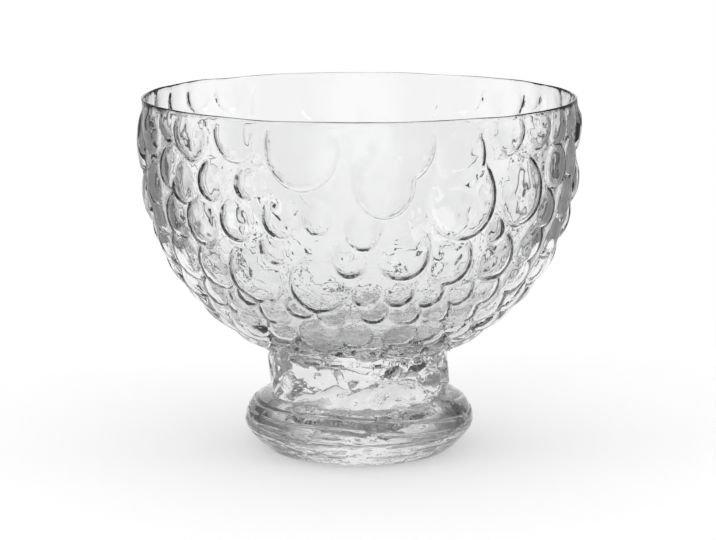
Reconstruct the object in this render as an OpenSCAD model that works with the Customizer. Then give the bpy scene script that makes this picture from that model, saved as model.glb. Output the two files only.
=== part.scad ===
// Footed trifle bowl of clear glass, joined hot from three gathers:
// a bowl with a relief of overlapping bubbles, a solid stem and a thick bun foot.
// Millimetres, +Z up. The origin is the middle of the ring that the foot rests on, and -Y is the front.

/* [Bowl] */
// Height of the whole piece, from the table to the rim
height = 180; // [165:1:200]
// Largest diameter of the plain round wall under the relief
wall_d = 218; // [200:1:240]
// Height of the plain collar between the stem and the round wall
collar_h = 3.4; // [2:0.1:8]
// Thickness of the wall under the relief
wall_t = 3.5; // [3:0.1:5]
// Thickness of the rounded lip
lip_t = 6; // [5:0.1:7]
// How far the round of the lip is set in past the face of the hollow
lip_set = 0.4; // [0.2:0.1:1]
// Thickness of the floor inside the bowl
floor_t = 8; // [6:0.5:12]

/* [Relief] */
// Radius of the largest bubble where it meets the wall
bubble_r = 20; // [17:0.5:22]
// Rise of the largest bubble above the wall
bubble_h = 4; // [2:0.1:5]
// Depth to which each bubble is rooted in the wall
bubble_root = 2.4; // [2:0.1:2.8]
// Bubbles round each of the lowest rings
low_ring_count = 30; // [20:2:36]

/* [Stem] */
// Height of the stem between foot and bowl
stem_h = 22; // [16:1:30]
// Diameter of the stem under the bowl
stem_top_d = 97; // [88:0.5:104]
// Diameter of the stem on the foot
stem_foot_d = 90.5; // [80:0.5:98]
// Depth of the waist drawn into the side of the stem
stem_waist = 0.6; // [0.2:0.1:1.5]

/* [Foot] */
// Height of the foot
foot_h = 28; // [24:0.5:32]
// Largest diameter of the foot
foot_d = 117; // [112:0.5:130]
// Depth by which the round edge of the foot is ground flat at the bottom
ground_t = 0.6; // [0.3:0.1:1.5]
// Diameter of the hollow kick under the foot
kick_d = 80; // [60:1:84]
// Height of the hollow kick
kick_h = 5; // [3:0.5:10]

/* [Hidden] */

// Facets of the revolved pieces and of each bubble
$fn = 144;
bubble_fn = 36;
// Overrun of shapes that cut past a surface
overrun = 1;

// Levels of the seats and of the rounded lip
bowl_z = foot_h + stem_h;
lip_z = height - lip_t / 2;

// Outer and inner radius of the wall, the collar that seats on the stem, and the widest level above it
wall_r = wall_d / 2;
inner_r = wall_r - wall_t;
collar_r = stem_top_d / 2;
girth_z = bowl_z + collar_h + sqrt(wall_r * wall_r - collar_r * collar_r);

// Level of the floor inside
floor_z = bowl_z + floor_t;

// Middle of the half round of the lip
lip_x = sqrt(inner_r * inner_r - pow(lip_z - girth_z, 2)) + lip_t / 2 - lip_set;

// Lean of the wall at the rim and at the collar, from upright at the girth
rim_lean = -asin((height - girth_z) / wall_r);
collar_lean = acos(collar_r / wall_r);

// Arc of the stem's waist, from its chord and its depth
stem_taper = (stem_top_d - stem_foot_d) / 2;
stem_chord = sqrt(stem_h * stem_h + stem_taper * stem_taper);
waist_r = (stem_chord * stem_chord / 4 + stem_waist * stem_waist) / (2 * stem_waist);
stem_lean = atan(stem_taper / stem_h);

// Round edge of the foot and the dome of its kick
foot_edge_r = (foot_h + ground_t) / 2;
foot_edge_x = foot_d / 2 - foot_edge_r;
kick_r = (kick_d * kick_d / 4 + kick_h * kick_h) / (2 * kick_h);

// Bubbles of the front half, in bands from the rim down, repeated by half a turn for the back.
// Each row is the place round the bowl as a share of a quarter turn from the front, the place down
// the wall as a share of its length, and the radius as a share of the largest bubble's.
rim_shares = [
    [-0.91, 0.14, 0.72], [-0.77, 0.08, 0.62], [-0.64, 0.04, 0.44], [-0.53, 0.06, 0.65],
    [-0.45, 0.01, 0.32], [-0.36, 0.05, 0.65], [-0.16, 0.08, 0.98], [0.12, 0.07, 0.85],
    [0.31, 0.01, 0.50], [0.31, 0.13, 0.60], [0.45, 0.05, 0.55], [0.58, 0.05, 0.50],
    [0.69, 0.06, 0.44], [0.79, 0.05, 0.44], [0.91, 0.09, 0.60],
];
upper_shares = [
    [-0.75, 0.26, 0.52], [-0.64, 0.19, 0.48], [-0.57, 0.23, 0.50], [-0.45, 0.21, 0.46],
    [-0.33, 0.21, 0.34], [0.07, 0.19, 0.80], [0.33, 0.28, 0.75], [0.51, 0.25, 0.80],
    [0.69, 0.19, 0.52], [0.81, 0.18, 0.48], [0.93, 0.27, 0.58],
];
middle_shares = [
    [-0.90, 0.33, 0.60], [-0.76, 0.37, 0.48], [-0.62, 0.35, 0.55], [-0.50, 0.35, 0.60],
    [-0.37, 0.33, 0.50], [-0.23, 0.31, 0.48], [-0.10, 0.31, 0.45], [0.01, 0.35, 0.46],
    [0.42, 0.37, 0.32], [0.64, 0.33, 0.48], [0.78, 0.31, 0.55], [0.92, 0.41, 0.50],
];
round_shares = [
    [-0.95, 0.46, 0.42], [-0.81, 0.48, 0.58], [-0.64, 0.49, 0.65], [-0.50, 0.51, 0.60],
    [-0.34, 0.52, 0.80], [-0.26, 0.42, 0.40], [-0.03, 0.45, 0.45], [0.13, 0.42, 0.72],
    [0.28, 0.46, 0.65], [0.45, 0.47, 0.60], [0.60, 0.44, 0.55], [0.76, 0.44, 0.55],
];
belly_shares = [
    [-0.91, 0.58, 0.60], [-0.72, 0.61, 0.50], [-0.57, 0.63, 0.46], [-0.41, 0.62, 0.30],
    [-0.13, 0.55, 0.78], [0.02, 0.58, 0.38], [0.13, 0.58, 0.40], [0.23, 0.58, 0.45],
    [0.35, 0.59, 0.42], [0.46, 0.60, 0.47], [0.60, 0.56, 0.55], [0.76, 0.56, 0.55],
    [0.91, 0.56, 0.60],
];
lower_shares = [
    [-0.92, 0.70, 0.45], [-0.77, 0.70, 0.45], [-0.61, 0.72, 0.45], [-0.47, 0.69, 0.45],
    [-0.32, 0.68, 0.45], [-0.21, 0.64, 0.40], [-0.10, 0.68, 0.40], [0.05, 0.66, 0.38],
    [0.17, 0.67, 0.40], [0.29, 0.68, 0.42], [0.41, 0.69, 0.45], [0.54, 0.68, 0.45],
    [0.68, 0.66, 0.45], [0.82, 0.68, 0.45], [0.95, 0.69, 0.45],
];

// The lowest rings: place down the wall, radius of the bubbles, and shift round the bowl
low_ring_shares = [[0.78, 0.40, 0], [0.88, 0.36, 0.5], [0.935, 0.30, 0]];

// One bubble: a cap of a sphere that meets the wall in a circle of the given radius
module bubble(turn, depth_share, size_share) {
    foot_r = bubble_r * size_share;
    rise = bubble_h * sqrt(size_share);
    crown = rise + wall_r - sqrt(wall_r * wall_r - foot_r * foot_r);
    ball_r = (foot_r * foot_r + crown * crown) / (2 * crown);
    reach = ball_r + overrun;
    lean = rim_lean + (collar_lean - rim_lean) * depth_share;
    translate([0, 0, girth_z])
        rotate([0, lean, turn - 90])
            translate([wall_r + rise - ball_r, 0, 0])
                rotate([0, 0, 180])
                    intersection() {
                        sphere(r = ball_r, $fn = bubble_fn);
                        translate([-reach, -reach, -reach])
                            cube([reach - ball_r + rise + bubble_root, 2 * reach, 2 * reach]);
                    }
}

// A band of bubbles, repeated by half a turn
module bubble_band(places) {
    for (half_turn = [0, 180], place = places)
        bubble(half_turn + 90 * place[0], place[1], place[2]);
}

// Every second bubble of a ring of equal bubbles, shifted by a share of their spacing
module half_ring(place, first) {
    for (i = [first : 2 : low_ring_count - 1])
        bubble(360 / low_ring_count * (i + place[2]), place[0], place[1]);
}

// Half section of the glass before it is hollowed: the round wall and the collar on the stem
module body_section() {
    intersection() {
        translate([0, girth_z])
            circle(r = wall_r);
        translate([0, bowl_z - overrun])
            square([wall_d, height - bowl_z + 2 * overrun]);
    }
    translate([0, bowl_z - overrun])
        square([collar_r, collar_h + 2 * overrun]);
}

// Half section of what is taken away: the hollow, and all above the half round of the lip
module hollow_section() {
    intersection() {
        translate([0, girth_z])
            circle(r = inner_r);
        translate([0, floor_z])
            square([wall_d, height - floor_z]);
    }
    difference() {
        translate([0, lip_z])
            square([wall_d, wall_d]);
        translate([lip_x, lip_z])
            circle(d = lip_t, $fn = bubble_fn);
    }
}

module bowl() {
    color("aliceblue", 0.6)
        difference() {
            union() {
                rotate_extrude()
                    body_section();
                bubble_band(rim_shares);
                bubble_band(upper_shares);
                bubble_band(middle_shares);
                bubble_band(round_shares);
                bubble_band(belly_shares);
                bubble_band(lower_shares);
                half_ring(low_ring_shares[0], 0);
                half_ring(low_ring_shares[0], 1);
                half_ring(low_ring_shares[1], 0);
                half_ring(low_ring_shares[1], 1);
                half_ring(low_ring_shares[2], 0);
                half_ring(low_ring_shares[2], 1);
            }
            rotate_extrude()
                hollow_section();
            translate([0, 0, bowl_z - wall_r])
                cylinder(r = wall_r, h = wall_r);
        }
}

module stem() {
    color("lightsteelblue", 0.7)
        translate([0, 0, foot_h])
            rotate_extrude()
                difference() {
                    polygon([[0, 0], [stem_foot_d / 2, 0], [stem_top_d / 2, stem_h], [0, stem_h]]);
                    translate([(stem_foot_d + stem_top_d) / 4, stem_h / 2])
                        rotate(-stem_lean)
                            translate([waist_r - stem_waist, 0])
                                circle(r = waist_r);
                }
}

module foot() {
    color("lightsteelblue", 0.7)
        difference() {
            rotate_extrude()
                intersection() {
                    union() {
                        translate([foot_edge_x, foot_h - foot_edge_r])
                            circle(r = foot_edge_r);
                        square([foot_edge_x, foot_h]);
                    }
                    square([foot_d, foot_h]);
                }
            translate([0, 0, kick_h - kick_r])
                sphere(r = kick_r);
        }
}

bowl();
stem();
foot();
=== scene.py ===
"""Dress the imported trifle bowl: a moulded glass bowl, a solid stem and a bun foot, in a plain studio."""

import logging
import math
from dataclasses import dataclass, field
from enum import Enum
from typing import Union

import bmesh
import bpy
import numpy as np
from mathutils import Matrix, Vector, noise


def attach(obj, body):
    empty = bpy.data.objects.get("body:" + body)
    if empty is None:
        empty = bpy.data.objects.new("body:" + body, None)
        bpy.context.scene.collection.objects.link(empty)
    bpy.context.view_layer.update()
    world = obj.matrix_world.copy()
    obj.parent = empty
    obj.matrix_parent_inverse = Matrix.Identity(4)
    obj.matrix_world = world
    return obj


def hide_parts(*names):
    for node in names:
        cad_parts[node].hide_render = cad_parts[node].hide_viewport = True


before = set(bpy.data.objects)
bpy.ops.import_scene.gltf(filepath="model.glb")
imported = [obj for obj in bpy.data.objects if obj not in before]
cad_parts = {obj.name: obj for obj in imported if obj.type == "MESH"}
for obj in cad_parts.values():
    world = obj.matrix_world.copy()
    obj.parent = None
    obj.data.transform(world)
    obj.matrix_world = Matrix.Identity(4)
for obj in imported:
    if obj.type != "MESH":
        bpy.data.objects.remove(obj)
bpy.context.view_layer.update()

log = logging.getLogger("trifle_bowl")

MM = 0.001
AXIS = (0.0, 0.0, 1.0)
ORIGIN = (0.0, 0.0, 0.0)
SECTOR_STEPS = 8
SECTOR_DOUBLINGS = 5
WELD = 1e-6

Place = tuple[float, float, float]
Colour = tuple[float, float, float, float]
Span = tuple[float, float]
Value = Union[bpy.types.NodeSocket, float, Place]

WHITE: Colour = (1.0, 1.0, 1.0, 1.0)
THICK_TINT: Colour = (0.84, 0.845, 0.843, 1.0)
HALF = Vector((0.5, 0.5, 0.5))


class Body(Enum):
    """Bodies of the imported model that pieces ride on."""

    ROOT = "root"


class Skin(Enum):
    """Stretch of a half section that a vertex belongs to."""

    SEAT = 0
    OUTSIDE = 1
    LIP = 2
    INSIDE = 3


class GlassKind(Enum):
    """Named choices of glass surface."""

    MOULDED = "moulded"
    WORKED = "worked"
    FLOWED = "flowed"


def add_node(tree: bpy.types.NodeTree, kind: str, inputs: dict[Union[str, int], Value]) -> bpy.types.Node:
    """Add a node to a material or to the world.

    Args:
        tree: the nodes of the material or world.
        kind: type of the node, after the word ShaderNode.
        inputs: for each input a number, or the output that feeds it.

    Returns:
        The new node.
    """
    node = tree.nodes.new(f"ShaderNode{kind}")
    for name, value in inputs.items():
        if isinstance(value, bpy.types.NodeSocket):
            tree.links.new(value, node.inputs[name])
        else:
            node.inputs[name].default_value = value
    return node


def add_math(tree: bpy.types.NodeTree, operation: str, *inputs: Value,
             clamp: bool = False) -> bpy.types.NodeSocket:
    """Add a Math node.

    Args:
        tree: the nodes of the material or world.
        operation: what the node works out.
        inputs: numbers, or the outputs that feed it.
        clamp: whether the result is kept between 0 and 1.

    Returns:
        The output of the node.
    """
    node = add_node(tree, "Math", dict(enumerate(inputs)))
    node.operation = operation
    node.use_clamp = clamp
    return node.outputs["Value"]


def add_range(tree: bpy.types.NodeTree, value: bpy.types.NodeSocket, source: Span, target: Span = (0.0, 1.0),
              interpolation: str = "LINEAR") -> bpy.types.NodeSocket:
    """Add a Map Range node.

    Args:
        tree: the nodes of the material or world.
        value: the output that feeds it.
        source: ends of the range that is mapped.
        target: ends of the range that it is mapped to.
        interpolation: how it runs from one end to the other.

    Returns:
        The output of the node.
    """
    node = add_node(tree, "MapRange", {"Value": value, "From Min": source[0], "From Max": source[1],
                                       "To Min": target[0], "To Max": target[1]})
    node.interpolation_type = interpolation
    return node.outputs["Result"]


@dataclass(frozen=True)
class ClearGlass:
    """Clear colourless glass with a faint skin from the mould or the tools, greyer low down: painted shade on
    the bowl's lower wall, the colour of thick glass in stem and foot.

    Args:
        kind: which surface the glass has.
        tint: colour of light that has passed through.
        low_tint_and_shade: the same low down, greyer: painted shade on the bowl's lower wall, whose glass is
            no thicker there; in the solid stem and foot, which lie wholly low, the colour of the thick glass.
        ior: index of refraction.
        ripple_size: width of the ripples of the skin, in metres.
        ripple_height: height of the ripples of the skin, in metres.
        ripple_detail: levels of finer ripples that the ripples carry.
        ripple_fineness: strength of each level over the one before.
        flatten: how many times flatter than wide the ripples are.
        wrinkle_size: width of the finer wrinkles, in metres.
        wrinkle_height: height of the finer wrinkles where they are full, in metres.
        wrinkle_detail: levels of finer wrinkles that the wrinkles carry.
        wrinkle_bend: how far the wrinkles are bent.
        wrinkle_none: height above which there are no wrinkles and no painted shade, in metres.
        wrinkle_full: height below which the wrinkles and the painted shade are full, in metres.
        bright_skin: height in the ripples, from 0 to 1, at which the skin is brightest.
        dull_skin: height in the ripples at which it is dullest.
        rough_low: roughness where the skin is brightest.
        rough_high: roughness where the skin is dullest.
    """

    kind: GlassKind
    tint: Colour = (0.955, 0.958, 0.957, 1.0)
    # Painted shade: the bowl's glass greys towards this colour low down, where its wall is no thicker.
    low_tint_and_shade: Colour = (0.88, 0.885, 0.883, 1.0)
    ior: float = 1.5
    ripple_size: float = 10 * MM
    ripple_height: float = 0.5 * MM
    ripple_detail: float = 1.0
    ripple_fineness: float = 0.4
    flatten: float = 1.0
    wrinkle_size: float = 3 * MM
    wrinkle_height: float = 0.16 * MM
    wrinkle_detail: float = 1.5
    wrinkle_bend: float = 0.6
    wrinkle_none: float = 125 * MM
    wrinkle_full: float = 65 * MM
    bright_skin: float = 0.35
    dull_skin: float = 0.75
    rough_low: float = 0.0
    rough_high: float = 0.03

    def material(self) -> bpy.types.Material:
        """Make the glass as a node material on object coordinates.

        Returns:
            The new material.
        """
        made = bpy.data.materials.new(f"{self.kind.value}_glass")
        made.use_nodes = True
        tree = made.node_tree
        shader = tree.nodes["Principled BSDF"]
        shader.inputs["Transmission Weight"].default_value = 1.0
        shader.inputs["IOR"].default_value = self.ior
        place = add_node(tree, "TexCoord", {}).outputs["Object"]
        grain = add_node(tree, "Mapping", {"Vector": place, "Scale": (1.0, 1.0, self.flatten)})
        ripple = add_node(tree, "TexNoise", {
            "Vector": grain.outputs["Vector"], "Scale": 1 / self.ripple_size,
            "Detail": self.ripple_detail, "Roughness": self.ripple_fineness,
        }).outputs["Fac"]
        wrinkle = add_node(tree, "TexNoise", {
            "Vector": place, "Scale": 1 / self.wrinkle_size,
            "Detail": self.wrinkle_detail, "Distortion": self.wrinkle_bend,
        }).outputs["Fac"]
        level = add_node(tree, "SeparateXYZ", {"Vector": place}).outputs["Z"]
        fullness = add_range(tree, level, (self.wrinkle_none, self.wrinkle_full))
        # Base colour runs from the tint above to the low tint below: painted shade on the bowl's lower wall;
        # stem and foot lie wholly in the low part and take the thick glass's colour.
        depth = add_node(tree, "ValToRGB", {"Fac": fullness})
        for stop, tint in zip(depth.color_ramp.elements, (self.tint, self.low_tint_and_shade)):
            stop.color = tint
        wave = add_node(tree, "Bump", {"Height": ripple, "Distance": self.ripple_height})
        crease = add_node(tree, "Bump", {
            "Height": wrinkle, "Strength": fullness, "Distance": self.wrinkle_height,
            "Normal": wave.outputs["Normal"],
        })
        roughness = add_range(tree, ripple, (self.bright_skin, self.dull_skin),
                              (self.rough_low, self.rough_high))
        tree.links.new(depth.outputs["Color"], shader.inputs["Base Color"])
        tree.links.new(crease.outputs["Normal"], shader.inputs["Normal"])
        tree.links.new(roughness, shader.inputs["Roughness"])
        return made


@dataclass(frozen=True)
class FusedSeam:
    """Joint between two gathers that were joined hot: glass runs through it, so it shows nothing."""

    name: str = "fused_seam"

    def material(self) -> bpy.types.Material:
        """Make the seam's material, which lets all light pass unbent.

        Returns:
            The new material.
        """
        made = bpy.data.materials.new(self.name)
        made.use_nodes = True
        shader = made.node_tree.nodes["Principled BSDF"]
        shader.inputs["Alpha"].default_value = 0.0
        return made


@dataclass(frozen=True)
class Bubble:
    """One bubble of the relief.

    Args:
        turn: angle round the bowl from the front, in radians, to the right.
        arc: distance down the wall from the rim, in metres.
        radius: radius on the wall, in metres.
        rise: height above the wall at the proudest edge, in metres.
        side: how far the proudest edge turns from straight down to the left, -1, or to the right, 1.
        crown: share of the rise that is a round crown; the rest is a tilted plate.
    """

    turn: float
    arc: float
    radius: float
    rise: float
    side: float
    crown: float


@dataclass
class BubbleRelief:
    """Overlapping bubbles on the wall of the bowl, in bands from the rim down.

    Each place in a band is the share of a quarter turn from the front, the share of the wall's length
    down from the rim, and the share of the largest bubble's radius. The bands cover the front half and
    are repeated by half a turn. The lowest bubbles stand in rings, each with its shift as a share of the
    spacing, its place down the wall and the size of its bubbles, and stray a little from them.

    Args:
        wall_length: length of the wall that the shares measure, in metres.
        largest_radius: radius of the largest bubble, in metres.
        largest_rise: rise of the largest bubble, in metres.
        overhang: how much lower the far edge of a bubble lies than its proudest edge, as a share.
        side_share: share of a quarter turn over which the proudest edge swings from down to the side.
        side_rise: rise of the bubbles at the sides, as a share of the front's.
        front_crown: share of the rise that is a round crown on the front.
        side_crown: the same share at the sides.
        crown_fade: share of the wall's length, above the seat, over which the crown grows.
        tallness: height of a bubble on the wall over its width.
        ring_count: bubbles in each of the lowest rings.
        ring_rise: rise of the bubbles of the rings, as a share of that of others of their size.
        ring_wander: how far the bubbles of the rings stray, as a share of their spacing and size.
        ring_drift: how far they stray down the wall, as a share of its length, where they stray in full.
        stray_step: step through the noise from one bubble of a ring to the next.
        stray_ring: step through the noise from the rim to the seat.
        stray_start: where in the noise the rings lie.
        back_rise: rise of the bubbles along the back of the rim, as a share of the front's.
        rim_shares: bubbles along the rim.
        upper_shares: bubbles below those.
        middle_shares: bubbles across the upright band of the wall.
        round_shares: bubbles where the wall turns in.
        belly_shares: bubbles across the belly.
        lower_shares: bubbles above the rings.
        ring_shares: the lowest rings.
    """

    wall_length: float
    largest_radius: float = 20 * MM
    largest_rise: float = 4.1 * MM
    overhang: float = 0.9
    side_share: float = 0.15
    side_rise: float = 1.35
    front_crown: float = 0.3
    side_crown: float = 0.7
    crown_fade: float = 0.4
    tallness: float = 1.2
    ring_count: int = 24
    ring_rise: float = 1.75
    ring_wander: float = 0.5
    ring_drift: float = 0.03
    stray_step: float = 1.7
    stray_ring: float = 40.0
    stray_start: float = 0.5
    back_rise: float = 0.45
    rim_shares: list[Place] = field(default_factory=lambda: [
        (-0.91, 0.14, 0.72), (-0.77, 0.08, 0.62), (-0.64, 0.04, 0.44), (-0.53, 0.06, 0.65),
        (-0.45, 0.01, 0.32), (-0.36, 0.05, 0.65), (-0.16, 0.08, 0.98), (0.12, 0.07, 0.85),
        (0.31, 0.01, 0.50), (0.29, 0.12, 0.72), (0.45, 0.05, 0.55), (0.58, 0.05, 0.50),
        (0.69, 0.06, 0.44), (0.79, 0.05, 0.44), (0.91, 0.09, 0.60),
    ])
    upper_shares: list[Place] = field(default_factory=lambda: [
        (-0.75, 0.26, 0.52), (-0.64, 0.19, 0.48), (-0.57, 0.23, 0.50), (-0.45, 0.21, 0.46),
        (-0.33, 0.21, 0.34), (0.07, 0.19, 0.80), (0.30, 0.25, 0.98), (0.51, 0.25, 0.80),
        (0.69, 0.19, 0.52), (0.81, 0.18, 0.48), (0.93, 0.27, 0.58),
    ])
    middle_shares: list[Place] = field(default_factory=lambda: [
        (-0.90, 0.33, 0.60), (-0.76, 0.37, 0.48), (-0.62, 0.35, 0.55), (-0.50, 0.35, 0.60),
        (-0.37, 0.33, 0.50), (-0.23, 0.31, 0.48), (-0.12, 0.31, 0.38), (0.01, 0.35, 0.46),
        (0.42, 0.37, 0.32), (0.64, 0.33, 0.48), (0.78, 0.31, 0.55), (0.92, 0.41, 0.50),
    ])
    round_shares: list[Place] = field(default_factory=lambda: [
        (-0.95, 0.46, 0.42), (-0.81, 0.48, 0.58), (-0.64, 0.49, 0.65), (-0.50, 0.51, 0.60),
        (-0.34, 0.52, 0.80), (-0.26, 0.42, 0.40), (-0.03, 0.45, 0.45), (0.13, 0.42, 0.72),
        (0.28, 0.46, 0.65), (0.45, 0.47, 0.60), (0.60, 0.44, 0.55), (0.76, 0.44, 0.55),
    ])
    belly_shares: list[Place] = field(default_factory=lambda: [
        (-0.91, 0.58, 0.60), (-0.72, 0.61, 0.50), (-0.57, 0.63, 0.46), (-0.41, 0.62, 0.30),
        (-0.13, 0.55, 0.78), (0.02, 0.58, 0.38), (0.13, 0.58, 0.40), (0.23, 0.58, 0.45),
        (0.35, 0.59, 0.42), (0.46, 0.60, 0.47), (0.60, 0.56, 0.55), (0.76, 0.56, 0.55),
        (0.91, 0.56, 0.60),
    ])
    lower_shares: list[Place] = field(default_factory=lambda: [
        (-0.92, 0.70, 0.60), (-0.77, 0.70, 0.55), (-0.61, 0.72, 0.55), (-0.47, 0.69, 0.50),
        (-0.32, 0.68, 0.45), (-0.21, 0.64, 0.40), (-0.10, 0.68, 0.40), (0.05, 0.66, 0.38),
        (0.17, 0.67, 0.40), (0.29, 0.68, 0.42), (0.41, 0.69, 0.50), (0.54, 0.68, 0.55),
        (0.68, 0.66, 0.55), (0.82, 0.68, 0.55), (0.95, 0.69, 0.60),
    ])
    ring_shares: list[Place] = field(default_factory=lambda: [
        (0.0, 0.795, 0.54), (0.5, 0.885, 0.46), (0.0, 0.955, 0.36),
    ])

    def bubble(self, turn: float, depth_share: float, size_share: float, rise_share: float = 1.0) -> Bubble:
        """Make one bubble from its shares.

        Args:
            turn: angle round the bowl from the front, in radians.
            depth_share: place down the wall as a share of its length.
            size_share: radius as a share of the largest bubble's.
            rise_share: rise as a share of what is usual for the size.

        Returns:
            The bubble in metres.
        """
        # From -1 at the left to 1 at the right of the nearer half, front or back.
        around = ((turn + math.pi / 2) % math.pi) / (math.pi / 2) - 1
        side = max(min(around / self.side_share, (1 - around) / self.side_share, 1), -1)
        side = max(side, -(1 + around) / self.side_share)
        rise = self.largest_rise * math.sqrt(size_share) * rise_share
        rise *= 1 - (1 - self.back_rise) * max(-math.cos(turn), 0.0) * (1 - depth_share ** 2)
        rise *= 1 + (self.side_rise - 1) * around * around
        crown = self.front_crown + (self.side_crown - self.front_crown) * around * around
        crown *= min((1 - depth_share) / self.crown_fade, 1.0)
        arc, radius = depth_share * self.wall_length, size_share * self.largest_radius
        return Bubble(turn, arc, radius, rise, side, crown)

    def bubbles(self) -> list[Bubble]:
        """List every bubble round the bowl.

        Returns:
            The bubbles of the bands, both halves, and of the lowest rings.
        """
        bands = (self.rim_shares, self.upper_shares, self.middle_shares, self.round_shares,
                 self.belly_shares, self.lower_shares)
        places = [place for band in bands for place in band]
        found = [self.bubble(half + turn * math.pi / 2, depth, size)
                 for half in (0.0, math.pi) for turn, depth, size in places]
        spacing = 2 * math.pi / self.ring_count
        for shift, depth, size in self.ring_shares:
            for step in range(self.ring_count):
                spot = (step * self.stray_step, depth * self.stray_ring, self.stray_start)
                stray = noise.noise_vector(spot) * self.ring_wander
                turn = (step + shift + stray.x) * spacing
                found.append(self.bubble(turn, depth + stray.y * self.ring_drift, size * (1 + stray.z),
                                         self.ring_rise))
        return found

    def heights(self, turns: np.ndarray, arcs: np.ndarray, girths: np.ndarray,
                edge_width: float) -> np.ndarray:
        """Measure the relief at many points of the wall.

        Args:
            turns: angle of each point from the front, in radians.
            arcs: distance of each point down the wall from the rim, in metres.
            girths: distance of each point from the axis, in metres.
            edge_width: width of the rounded edge of a bubble, in metres.

        Returns:
            Height of the relief at each point, in metres.
        """
        result = np.zeros_like(turns)
        stretch = math.sqrt(self.tallness)
        for one in self.bubbles():
            across = (turns - one.turn + math.pi) % (2 * math.pi) - math.pi
            down = (arcs - one.arc) / one.radius / stretch
            beside = across * girths / one.radius * stretch
            away = np.hypot(beside, down)
            edge = np.clip((1 - away) * one.radius / edge_width, 0, 1)
            tilt = (down + one.side * beside) / math.hypot(1, one.side)
            plate = edge * (2 - edge) * (1 + self.overhang * tilt) / (1 + self.overhang)
            crown = np.clip(1 - away * away, 0, 1)
            height = plate + (crown - plate) * one.crown
            result = np.maximum(result, one.rise * height)
        return result


@dataclass(frozen=True)
class SectionPoint:
    """Point of a half section that is spun into a piece.

    Args:
        reach: distance from the axis, in metres.
        level: height, in metres.
        skin: stretch of the section that it belongs to.
        arc: distance down the wall from the rim, in metres, where the relief needs it.
    """

    reach: float
    level: float
    skin: Skin
    arc: float = 0.0


class SpunGlass:
    """Base of the three gathers: a half section spun round the axis and shaped by hand moves."""

    node: str = ""
    slot: str = ""

    def section(self) -> list[SectionPoint]:
        """Give the half section, from the axis to the axis."""
        raise NotImplementedError

    def shape(self, bm: bmesh.types.BMesh) -> None:
        """Move the vertices of the spun section, as a glassmaker's tools do."""
        raise NotImplementedError

    def revolve(self, bm: bmesh.types.BMesh, chain: list[bmesh.types.BMVert]) -> None:
        """Spin the section through one sector, then copy the sector round until it closes.

        Args:
            bm: mesh that holds the section.
            chain: vertices of the section in order.
        """
        edges = [bm.edges.new(pair) for pair in zip(chain, chain[1:])]
        turn = 2 * math.pi / 2 ** SECTOR_DOUBLINGS
        bmesh.ops.spin(bm, geom=chain + edges, cent=ORIGIN, axis=AXIS, angle=turn, steps=SECTOR_STEPS)
        for _ in range(SECTOR_DOUBLINGS):
            copied = bmesh.ops.duplicate(bm, geom=bm.verts[:] + bm.edges[:] + bm.faces[:])["geom"]
            verts = [item for item in copied if isinstance(item, bmesh.types.BMVert)]
            bmesh.ops.rotate(bm, verts=verts, cent=ORIGIN, matrix=Matrix.Rotation(turn, 3, AXIS))
            turn *= 2
        bmesh.ops.remove_doubles(bm, verts=bm.verts[:], dist=WELD)
        bmesh.ops.recalc_face_normals(bm, faces=bm.faces[:])

    def build(self, glass: bpy.types.Material, seam: bpy.types.Material) -> bpy.types.Object:
        """Spin, shape and dress the piece.

        Args:
            glass: material of the glass.
            seam: material of the faces where two gathers are fused.

        Returns:
            The finished object, riding on its body and standing for its node.
        """
        bm = bmesh.new()
        skins = bm.verts.layers.int.new("skin")
        arcs = bm.verts.layers.float.new("arc")
        chain = []
        for point in self.section():
            vert = bm.verts.new((point.reach, 0.0, point.level))
            vert[skins] = point.skin.value
            vert[arcs] = point.arc
            chain.append(vert)
        self.revolve(bm, chain)
        for face in bm.faces:
            face.smooth = True
            face.material_index = int(all(vert[skins] == Skin.SEAT.value for vert in face.verts))
        for edge in bm.edges:
            kinds = {face.material_index for face in edge.link_faces}
            edge.smooth = len(kinds) == 1
        self.shape(bm)
        mesh = bpy.data.meshes.new(f"{self.node}_glass")
        bm.to_mesh(mesh)
        bm.free()
        mesh.materials.append(glass)
        mesh.materials.append(seam)
        piece = bpy.data.objects.new(f"{self.node}_glass", mesh)
        bpy.context.scene.collection.objects.link(piece)
        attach(piece, Body.ROOT.value)
        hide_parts(self.node)
        log.info("%s: %d faces", piece.name, len(mesh.polygons))
        return piece


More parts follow.
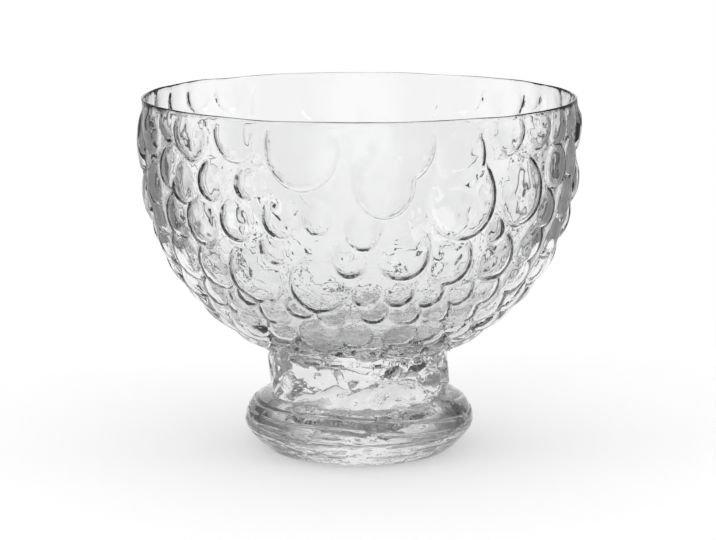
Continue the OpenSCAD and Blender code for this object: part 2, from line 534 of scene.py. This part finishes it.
@dataclass
class MouldedBowl(SpunGlass):
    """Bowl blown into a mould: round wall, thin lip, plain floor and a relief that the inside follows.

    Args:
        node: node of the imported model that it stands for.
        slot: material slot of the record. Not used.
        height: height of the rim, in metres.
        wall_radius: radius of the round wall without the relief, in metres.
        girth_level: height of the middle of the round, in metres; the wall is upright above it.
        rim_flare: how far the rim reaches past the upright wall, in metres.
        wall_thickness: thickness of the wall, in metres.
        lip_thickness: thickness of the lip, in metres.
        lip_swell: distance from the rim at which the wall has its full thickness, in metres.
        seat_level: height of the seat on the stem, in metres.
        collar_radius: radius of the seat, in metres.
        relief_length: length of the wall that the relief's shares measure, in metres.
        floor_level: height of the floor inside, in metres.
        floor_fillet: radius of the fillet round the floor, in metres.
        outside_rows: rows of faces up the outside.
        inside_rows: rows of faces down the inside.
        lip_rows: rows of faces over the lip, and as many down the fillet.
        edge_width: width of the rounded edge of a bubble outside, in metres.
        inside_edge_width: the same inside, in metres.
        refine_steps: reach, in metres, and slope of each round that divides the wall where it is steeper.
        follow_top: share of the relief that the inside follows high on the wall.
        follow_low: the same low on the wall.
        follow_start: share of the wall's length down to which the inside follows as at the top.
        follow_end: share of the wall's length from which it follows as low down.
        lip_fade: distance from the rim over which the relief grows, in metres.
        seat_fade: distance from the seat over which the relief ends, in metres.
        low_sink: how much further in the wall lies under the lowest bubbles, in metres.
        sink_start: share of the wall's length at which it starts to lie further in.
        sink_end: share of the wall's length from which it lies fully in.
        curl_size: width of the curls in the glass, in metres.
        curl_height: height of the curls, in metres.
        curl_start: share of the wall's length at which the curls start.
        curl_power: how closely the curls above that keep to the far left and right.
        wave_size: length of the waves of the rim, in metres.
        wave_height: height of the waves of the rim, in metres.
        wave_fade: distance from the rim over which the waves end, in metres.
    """

    node: str = "bowl"
    slot: str = "bowl_glass"
    height: float = 180 * MM
    wall_radius: float = 108.2 * MM
    girth_level: float = 151 * MM
    rim_flare: float = 1.2 * MM
    wall_thickness: float = 3.2 * MM
    lip_thickness: float = 1.3 * MM
    lip_swell: float = 30 * MM
    seat_level: float = 50 * MM
    collar_radius: float = 45.6 * MM
    relief_length: float = 150.3 * MM
    floor_level: float = 58 * MM
    floor_fillet: float = 36 * MM
    outside_rows: int = 58
    inside_rows: int = 54
    lip_rows: int = 6
    edge_width: float = 2.4 * MM
    inside_edge_width: float = 3 * MM
    refine_steps: tuple[Span, ...] = ((1.3 * MM, 0.3), (0.65 * MM, 0.75))
    follow_top: float = 1.0
    follow_low: float = 0.35
    follow_start: float = 0.45
    follow_end: float = 0.9
    lip_fade: float = 9 * MM
    seat_fade: float = 2 * MM
    low_sink: float = 2.2 * MM
    sink_start: float = 0.68
    sink_end: float = 0.82
    curl_size: float = 6 * MM
    curl_height: float = 0.3 * MM
    curl_start: float = 0.35
    curl_power: int = 4
    wave_size: float = 28 * MM
    wave_height: float = 0.6 * MM
    wave_fade: float = 14 * MM

    def __post_init__(self) -> None:
        """Work out where the wall starts and ends, and its relief."""
        self.rim_lean = -math.asin((self.height - self.girth_level) / self.wall_radius)
        self.collar_lean = math.acos(self.collar_radius / self.wall_radius)
        self.wall_length = self.wall_radius * (self.collar_lean - self.rim_lean)
        self.relief = BubbleRelief(self.relief_length)

    def thickness(self, lean: float) -> float:
        """Find how thick the plain wall is.

        Args:
            lean: angle below the girth, in radians; negative above it.

        Returns:
            Thickness in metres, least at the lip.
        """
        share = min((lean - self.rim_lean) * self.wall_radius / self.lip_swell, 1.0)
        return self.lip_thickness + (self.wall_thickness - self.lip_thickness) * share

    def wall_point(self, lean: float, inset: float) -> tuple[float, float]:
        """Find a point of the round wall.

        Args:
            lean: angle below the girth, in radians; negative above it.
            inset: depth below the outside, in metres.

        Returns:
            Distance from the axis and height, in metres.
        """
        radius = self.wall_radius - inset
        reach = radius * math.cos(lean)
        if lean < 0:
            share = lean / self.rim_lean
            reach = radius + self.rim_flare * share * share
        return reach, self.girth_level - radius * math.sin(lean)

    def section(self) -> list[SectionPoint]:
        """Give the half section: seat, outside, lip, inside and floor.

        Returns:
            Points from the middle of the seat round to the middle of the floor.
        """
        points = [SectionPoint(0.0, self.seat_level, Skin.SEAT),
                  SectionPoint(self.collar_radius, self.seat_level, Skin.SEAT)]
        span = self.collar_lean - self.rim_lean
        half_lip = self.lip_thickness / 2
        lip_lean = self.rim_lean + half_lip / self.wall_radius
        for row in range(self.outside_rows + 1):
            lean = self.collar_lean + (lip_lean - self.collar_lean) * row / self.outside_rows
            reach, level = self.wall_point(lean, 0.0)
            points.append(SectionPoint(reach, level, Skin.OUTSIDE, (lean - self.rim_lean) * self.wall_radius))
        lip_reach, lip_level = points[-1].reach - half_lip, points[-1].level
        for row in range(1, self.lip_rows):
            swing = math.pi * row / self.lip_rows
            points.append(SectionPoint(lip_reach + half_lip * math.cos(swing),
                                       lip_level + half_lip * math.sin(swing), Skin.LIP))
        inner_radius = self.wall_radius - self.wall_thickness
        fillet_level = self.floor_level + self.floor_fillet
        fillet_drop = self.girth_level - fillet_level
        fillet_reach = inner_radius - self.floor_fillet
        floor_lean = math.asin(fillet_drop / fillet_reach)
        for row in range(self.inside_rows + 1):
            lean = lip_lean + (floor_lean - lip_lean) * row / self.inside_rows
            reach, level = self.wall_point(lean, self.thickness(lean))
            points.append(SectionPoint(reach, level, Skin.INSIDE, (lean - self.rim_lean) * self.wall_radius))
        fillet_middle = math.sqrt(fillet_reach ** 2 - fillet_drop ** 2)
        for row in range(1, self.lip_rows + 1):
            lean = floor_lean + (math.pi / 2 - floor_lean) * row / self.lip_rows
            points.append(SectionPoint(fillet_middle + self.floor_fillet * math.cos(lean),
                                       fillet_level - self.floor_fillet * math.sin(lean), Skin.INSIDE,
                                       span * self.wall_radius))
        points.append(SectionPoint(0.0, self.floor_level, Skin.INSIDE, span * self.wall_radius))
        return points

    def shape(self, bm: bmesh.types.BMesh) -> None:
        """Raise the bubbles, let the inside follow them, curl the glass low and far aside, and wave the rim.

        Args:
            bm: the spun section.
        """
        self.refine(bm)
        skins, arcs = bm.verts.layers.int["skin"], bm.verts.layers.float["arc"]
        centre = Vector((0.0, 0.0, self.girth_level))
        for skin in (Skin.OUTSIDE, Skin.INSIDE):
            verts = [vert for vert in bm.verts if vert[skins] == skin.value and vert.co.xy.length > WELD]
            turns, downs = self.places(verts, arcs)
            heights = self.rises(turns, downs, skin)
            for vert, height, down in zip(verts, heights, downs):
                outward = (vert.co - centre).normalized()
                low = max(down / self.wall_length - self.curl_start, 0.0)
                aside = (vert.co.x / self.wall_radius) ** self.curl_power * min(down / self.lip_fade, 1.0)
                curl = noise.noise(vert.co / self.curl_size) * self.curl_height * max(low, aside)
                vert.co += outward * (float(height) + curl)
        for vert in bm.verts:
            near = 1 - vert[arcs] / self.wave_fade
            if vert[skins] != Skin.SEAT.value and near > 0:
                round_rim = Vector((vert.co.x, vert.co.y, 0.0)).normalized() * self.wall_radius
                vert.co.z += noise.noise(round_rim / self.wave_size) * self.wave_height * near

    def places(self, verts: list[bmesh.types.BMVert],
               arcs: bmesh.types.BMLayerItem) -> tuple[np.ndarray, np.ndarray]:
        """Find where vertices lie on the wall.

        Args:
            verts: vertices of the spun section.
            arcs: layer that holds their distance down the wall.

        Returns:
            Angles round the bowl from the front, in radians, and distances down from the rim, in metres.
        """
        turns = np.array([math.atan2(vert.co.x, -vert.co.y) for vert in verts])
        return turns, np.array([vert[arcs] for vert in verts])

    def rises(self, turns: np.ndarray, downs: np.ndarray, skin: Skin) -> np.ndarray:
        """Measure how far the relief moves a skin of the wall outwards.

        Args:
            turns: angle of each point from the front, in radians.
            downs: distance of each point down the wall from the rim, in metres.
            skin: outside or inside of the wall.

        Returns:
            Outward move of each point, in metres.
        """
        girths = self.wall_radius * np.cos(self.rim_lean + downs / self.wall_radius)
        outside = skin is Skin.OUTSIDE
        edge_width = self.edge_width if outside else self.inside_edge_width
        heights = self.relief.heights(turns, downs, girths, edge_width)
        if outside:
            low = downs / self.wall_length - self.sink_start
            heights -= self.low_sink * np.clip(low / (self.sink_end - self.sink_start), 0, 1)
        heights *= np.clip(downs / self.lip_fade, 0, 1)
        heights *= np.clip((self.wall_length - downs) / self.seat_fade, 0, 1)
        if not outside:
            low = downs / self.wall_length - self.follow_start
            low = np.clip(low / (self.follow_end - self.follow_start), 0, 1)
            heights *= self.follow_top + (self.follow_low - self.follow_top) * low
        return heights

    def refine(self, bm: bmesh.types.BMesh) -> None:
        """Divide the wall more finely where the relief is steep, along the edges of the bubbles.

        Args:
            bm: the spun section before it is shaped.
        """
        skins, arcs = bm.verts.layers.int["skin"], bm.verts.layers.float["arc"]
        for reach, steep in self.refine_steps:
            chosen = set()
            for skin in (Skin.OUTSIDE, Skin.INSIDE):
                verts = [vert for vert in bm.verts if vert[skins] == skin.value and vert.co.xy.length > WELD]
                turns, downs = self.places(verts, arcs)
                swings = reach / np.hypot(*np.array([vert.co.xy for vert in verts]).T)
                beside = [self.rises(turns + side * swings, downs, skin) for side in (-1, 1)]
                along = [self.rises(turns, downs + side * reach, skin) for side in (-1, 1)]
                slopes = np.hypot(beside[1] - beside[0], along[1] - along[0]) / (2 * reach)
                chosen.update(vert for vert, slope in zip(verts, slopes) if slope > steep)
            edges = [edge for edge in bm.edges if chosen.intersection(edge.verts)]
            bmesh.ops.subdivide_edges(bm, edges=edges, cuts=1, use_grid_fill=True)


@dataclass
class SolidStem(SpunGlass):
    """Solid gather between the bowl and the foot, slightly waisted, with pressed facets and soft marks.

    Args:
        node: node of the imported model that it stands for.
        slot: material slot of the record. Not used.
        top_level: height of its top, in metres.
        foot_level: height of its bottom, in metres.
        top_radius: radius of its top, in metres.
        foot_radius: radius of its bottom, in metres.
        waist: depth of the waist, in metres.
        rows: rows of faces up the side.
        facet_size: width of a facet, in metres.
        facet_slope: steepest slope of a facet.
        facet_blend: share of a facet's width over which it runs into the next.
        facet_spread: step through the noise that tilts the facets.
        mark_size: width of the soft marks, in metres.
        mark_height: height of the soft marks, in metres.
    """

    node: str = "stem"
    slot: str = "stem_glass"
    top_level: float = 50 * MM
    foot_level: float = 28 * MM
    top_radius: float = 45.6 * MM
    foot_radius: float = 45.25 * MM
    waist: float = 0.6 * MM
    rows: int = 44
    facet_size: float = 15 * MM
    facet_slope: float = 0.22
    facet_blend: float = 0.25
    facet_spread: float = 7.0
    mark_size: float = 5 * MM
    mark_height: float = 0.15 * MM

    def section(self) -> list[SectionPoint]:
        """Give the half section, from the middle of the bottom to the middle of the top.

        Returns:
            Points of the two seats and the waisted side.
        """
        points = [SectionPoint(0.0, self.foot_level, Skin.SEAT),
                  SectionPoint(self.foot_radius, self.foot_level, Skin.SEAT)]
        for row in range(1, self.rows):
            share = row / self.rows
            reach = self.foot_radius + (self.top_radius - self.foot_radius) * share
            reach -= self.waist * 4 * share * (1 - share)
            level = self.foot_level + (self.top_level - self.foot_level) * share
            points.append(SectionPoint(reach, level, Skin.OUTSIDE))
        points.append(SectionPoint(self.top_radius, self.top_level, Skin.SEAT))
        points.append(SectionPoint(0.0, self.top_level, Skin.SEAT))
        return points

    def shape(self, bm: bmesh.types.BMesh) -> None:
        """Press facets and soft marks into the side, none at the seams.

        Args:
            bm: the spun section.
        """
        skins = bm.verts.layers.int["skin"]
        for vert in bm.verts:
            if vert[skins] == Skin.OUTSIDE.value:
                share = (vert.co.z - self.foot_level) / (self.top_level - self.foot_level)
                outward = Vector((vert.co.x, vert.co.y, 0.0)).normalized()
                mark = noise.noise(vert.co / self.mark_size) * self.mark_height + self.facet(vert.co)
                vert.co += outward * mark * math.sqrt(math.sin(math.pi * share))

    def facet(self, place: Vector) -> float:
        """Find the height of the facet at a place: each cell of the pattern is tilted its own way.

        Args:
            place: point on the side of the stem.

        Returns:
            Height in metres, blended across the edge between two facets.
        """
        spot = place / self.facet_size
        gaps, middles = noise.voronoi(spot)
        near, next_near = [(noise.cell_vector(middle * self.facet_spread) - HALF).dot(spot - middle)
                           for middle in middles[:2]]
        keep = min(0.5 + (gaps[1] - gaps[0]) / (2 * self.facet_blend), 1.0)
        return (near * keep + next_near * (1 - keep)) * 2 * self.facet_slope * self.facet_size


@dataclass
class BunFoot(SpunGlass):
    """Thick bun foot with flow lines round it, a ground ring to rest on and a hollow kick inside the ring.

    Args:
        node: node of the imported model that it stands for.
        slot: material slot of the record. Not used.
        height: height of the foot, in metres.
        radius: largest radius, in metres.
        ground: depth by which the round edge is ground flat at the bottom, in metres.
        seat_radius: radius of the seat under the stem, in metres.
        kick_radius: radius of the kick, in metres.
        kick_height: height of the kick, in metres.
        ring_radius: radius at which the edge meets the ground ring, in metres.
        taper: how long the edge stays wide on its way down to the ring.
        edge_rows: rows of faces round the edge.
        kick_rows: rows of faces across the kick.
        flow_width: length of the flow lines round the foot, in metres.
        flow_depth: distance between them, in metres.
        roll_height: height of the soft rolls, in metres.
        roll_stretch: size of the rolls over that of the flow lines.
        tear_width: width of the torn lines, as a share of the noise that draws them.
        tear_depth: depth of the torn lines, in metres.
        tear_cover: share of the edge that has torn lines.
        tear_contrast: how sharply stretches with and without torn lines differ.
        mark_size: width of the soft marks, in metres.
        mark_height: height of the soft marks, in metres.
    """

    node: str = "foot"
    slot: str = "foot_glass"
    height: float = 28 * MM
    radius: float = 58.5 * MM
    ground: float = 0.6 * MM
    seat_radius: float = 45.25 * MM
    kick_radius: float = 40 * MM
    kick_height: float = 5 * MM
    ring_radius: float = 47 * MM
    taper: float = 1.6
    edge_rows: int = 110
    kick_rows: int = 16
    flow_width: float = 55 * MM
    flow_depth: float = 5 * MM
    roll_height: float = 0.7 * MM
    roll_stretch: float = 2.0
    tear_width: float = 0.15
    tear_depth: float = 1.3 * MM
    tear_cover: float = 0.5
    tear_contrast: float = 1.5
    mark_size: float = 4 * MM
    mark_height: float = 0.25 * MM

    def section(self) -> list[SectionPoint]:
        """Give the half section, from the middle of the kick to the middle of the top.

        Returns:
            Points of the kick, the ground ring, the round edge and the seat.
        """
        points = []
        dome = (self.kick_radius ** 2 + self.kick_height ** 2) / (2 * self.kick_height)
        for row in range(self.kick_rows + 1):
            reach = self.kick_radius * row / self.kick_rows
            level = self.kick_height - dome + math.sqrt(dome ** 2 - reach ** 2)
            points.append(SectionPoint(reach, level, Skin.INSIDE))
        edge = (self.height + self.ground) / 2
        middle_reach, middle_level = self.radius - edge, self.height - edge
        start = -math.asin(middle_level / edge)
        end = math.acos((self.seat_radius - middle_reach) / edge)
        for row in range(self.edge_rows):
            swing = start + (end - start) * row / self.edge_rows
            reach, level = middle_reach + edge * math.cos(swing), middle_level + edge * math.sin(swing)
            if level < middle_level:
                drop = 1 - level / middle_level
                reach = self.ring_radius + (self.radius - self.ring_radius) * (1 - drop ** self.taper)
            points.append(SectionPoint(reach, level, Skin.OUTSIDE))
        points.append(SectionPoint(self.seat_radius, self.height, Skin.SEAT))
        points.append(SectionPoint(0.0, self.height, Skin.SEAT))
        return points

    def shape(self, bm: bmesh.types.BMesh) -> None:
        """Draw rolls and torn lines round the edge, none at the seam or on the ground ring.

        Args:
            bm: the spun section.
        """
        skins = bm.verts.layers.int["skin"]
        edge = (self.height + self.ground) / 2
        middle = self.radius - edge
        for vert in bm.verts:
            if vert[skins] == Skin.OUTSIDE.value:
                ring = Vector((vert.co.x, vert.co.y, 0.0)).normalized() * middle
                ring.z = self.height - edge
                outward = (vert.co - ring).normalized()
                spot = Vector((vert.co.x / self.flow_width, vert.co.y / self.flow_width,
                               vert.co.z / self.flow_depth))
                roll = noise.noise(spot / self.roll_stretch) * self.roll_height
                roll += noise.noise(vert.co / self.mark_size) * self.mark_height
                stretch = noise.noise(vert.co / (self.flow_depth * self.roll_stretch))
                tear = max(1 - abs(noise.noise(spot)) / self.tear_width, 0.0)
                tear *= min(max(self.tear_cover + self.tear_contrast * stretch, 0.0), 1.0)
                share = min(max(vert.co.z / self.height, 0.0), 1.0)
                fade = math.sqrt(math.sin(math.pi * share))
                vert.co += outward * (roll - tear * self.tear_depth) * fade


@dataclass(frozen=True)
class SoftLamp:
    """Square studio lamp.

    Args:
        name: name of the lamp.
        place: where it hangs, in metres.
        size: side of its square, in metres.
        power: its power in watts.
        aim: point that it faces, in metres.
    """

    name: str
    place: Place
    size: float
    power: float
    aim: Place = (0.0, 0.0, 0.1)

    def hang(self) -> None:
        """Hang the lamp in the scene, facing its aim."""
        data = bpy.data.lights.new(self.name, "AREA")
        data.size = self.size
        data.energy = self.power
        lamp = bpy.data.objects.new(self.name, data)
        lamp.location = self.place
        lamp.rotation_euler = (Vector(self.aim) - Vector(self.place)).to_track_quat("-Z", "Y").to_euler()
        bpy.context.scene.collection.objects.link(lamp)


@dataclass
class Studio:
    """Plain pale floor, soft studio light and the camera at the photograph's viewing angle.

    Args:
        floor_radius: radius of the floor, in metres.
        floor_segments: sides of the floor.
        floor_white: colour of the floor.
        floor_rough: roughness of the floor.
        floor_glow: light that the floor gives, as a light table does.
        ambient: light of the room.
        corner_start: product of a direction's two level parts, 0 to 0.5, at which a corner starts to darken.
        corner_full: the same where it is darkest.
        corner_dark: light of the darkest corner, as the glass sees it.
        ceiling_start: upward part of the direction at which the ceiling starts to darken.
        ceiling_full: the same where it is darkest.
        ceiling_dark: light of the ceiling, as the glass sees it.
        lamps: the soft lamps.
        camera_distance: distance of the camera in front of the axis, in metres.
        camera_height: height of the camera, in metres.
        camera_pitch: angle by which the camera looks down, in degrees.
        lens: focal length, in millimetres.
        sensor: width of the sensor, in millimetres.
        shift_x: sideways shift of the lens, as a share of the picture's width.
    """

    floor_radius: float = 0.3
    floor_segments: int = 96
    floor_white: float = 0.84
    floor_rough: float = 0.9
    floor_glow: float = 0.14
    ambient: float = 1.0
    corner_start: float = 0.06
    corner_full: float = 0.5
    corner_dark: float = 0.24
    ceiling_start: float = 0.15
    ceiling_full: float = 0.5
    ceiling_dark: float = 0.35
    lamps: tuple[SoftLamp, ...] = (SoftLamp("key", (-1.1, -0.7, 1.2), 0.7, 2.5),
                                   SoftLamp("fill", (1.2, -0.4, 0.9), 0.5, 1.5))
    camera_distance: float = 1200 * MM
    camera_height: float = 317.8 * MM
    camera_pitch: float = 10.73
    lens: float = 120.4
    sensor: float = 36.0
    shift_x: float = -0.0018

    def floor(self) -> None:
        bm = bmesh.new()
        bmesh.ops.create_circle(bm, cap_ends=True, segments=self.floor_segments, radius=self.floor_radius)
        mesh = bpy.data.meshes.new("studio_floor")
        bm.to_mesh(mesh)
        bm.free()
        made = bpy.data.materials.new("floor_white")
        made.use_nodes = True
        shader = made.node_tree.nodes["Principled BSDF"]
        shader.inputs["Base Color"].default_value = (self.floor_white,) * 3 + (1.0,)
        shader.inputs["Roughness"].default_value = self.floor_rough
        shader.inputs["Specular IOR Level"].default_value = 0.0
        shader.inputs["Emission Color"].default_value = WHITE
        shader.inputs["Emission Strength"].default_value = self.floor_glow
        mesh.materials.append(made)
        floor = bpy.data.objects.new("studio_floor", mesh)
        bpy.context.scene.collection.objects.link(floor)

    def world(self) -> None:
        """Give white to the eye and to the floor, and a studio with four dark corners to the glass."""
        world = bpy.data.worlds.new("studio")
        bpy.context.scene.world = world
        world.use_nodes = True
        tree = world.node_tree
        plain = tree.nodes["Background"]
        plain.inputs["Color"].default_value = WHITE
        plain.inputs["Strength"].default_value = self.ambient
        view = add_node(tree, "TexCoord", {}).outputs["Generated"]
        across, along, up = add_node(tree, "SeparateXYZ", {"Vector": view}).outputs
        corner = add_math(tree, "ABSOLUTE", add_math(tree, "MULTIPLY", across, along))
        level = add_math(tree, "SUBTRACT", 1.0, add_math(tree, "MULTIPLY", up, up))
        corner = add_math(tree, "DIVIDE", corner, level)
        shade = add_range(tree, corner, (self.corner_start, self.corner_full),
                          (1.0, self.corner_dark), "SMOOTHSTEP")
        ceiling = add_range(tree, up, (self.ceiling_start, self.ceiling_full),
                            (1.0, self.ceiling_dark), "SMOOTHSTEP")
        room = add_node(tree, "Background", {"Color": add_math(tree, "MULTIPLY", shade, ceiling)})
        path = add_node(tree, "LightPath", {}).outputs
        glass = add_math(tree, "MAXIMUM", path["Is Glossy Ray"], path["Is Transmission Ray"])
        glass = add_math(tree, "SUBTRACT", glass, path["Diffuse Depth"], clamp=True)
        mix = add_node(tree, "MixShader", {"Fac": glass, 1: plain.outputs["Background"],
                                           2: room.outputs["Background"]})
        tree.links.new(mix.outputs["Shader"], tree.nodes["World Output"].inputs["Surface"])

    def camera(self) -> None:
        """Place the camera where the photograph was taken from."""
        data = bpy.data.cameras.new("camera")
        data.sensor_width = self.sensor
        data.lens = self.lens
        data.shift_x = self.shift_x
        camera = bpy.data.objects.new("camera", data)
        camera.location = (0.0, -self.camera_distance, self.camera_height)
        camera.rotation_euler = (math.radians(90 - self.camera_pitch), 0.0, 0.0)
        bpy.context.scene.collection.objects.link(camera)
        bpy.context.scene.camera = camera

    def build(self) -> None:
        """Set up floor, light, camera and view."""
        self.floor()
        self.world()
        for lamp in self.lamps:
            lamp.hang()
        self.camera()
        bpy.context.scene.view_settings.view_transform = "Standard"


def main() -> None:
    """Build the studio and the three gathers."""
    logging.basicConfig(level=logging.INFO)
    Studio().build()
    moulded = ClearGlass(GlassKind.MOULDED).material()
    # The bowl keeps the default low tint, painted shade on its lower wall; stem and foot get the thick
    # glass's colour throughout.
    worked = ClearGlass(GlassKind.WORKED, low_tint_and_shade=THICK_TINT, ripple_size=8 * MM, ripple_height=0.2 * MM,
                        wrinkle_height=0.1 * MM).material()
    flowed = ClearGlass(GlassKind.FLOWED, low_tint_and_shade=THICK_TINT, ripple_height=0.2 * MM, flatten=2.5,
                        wrinkle_height=0.15 * MM).material()
    seam = FusedSeam().material()
    MouldedBowl().build(moulded, seam)
    SolidStem().build(worked, seam)
    BunFoot().build(flowed, seam)


if __name__ == "__main__":
    main()
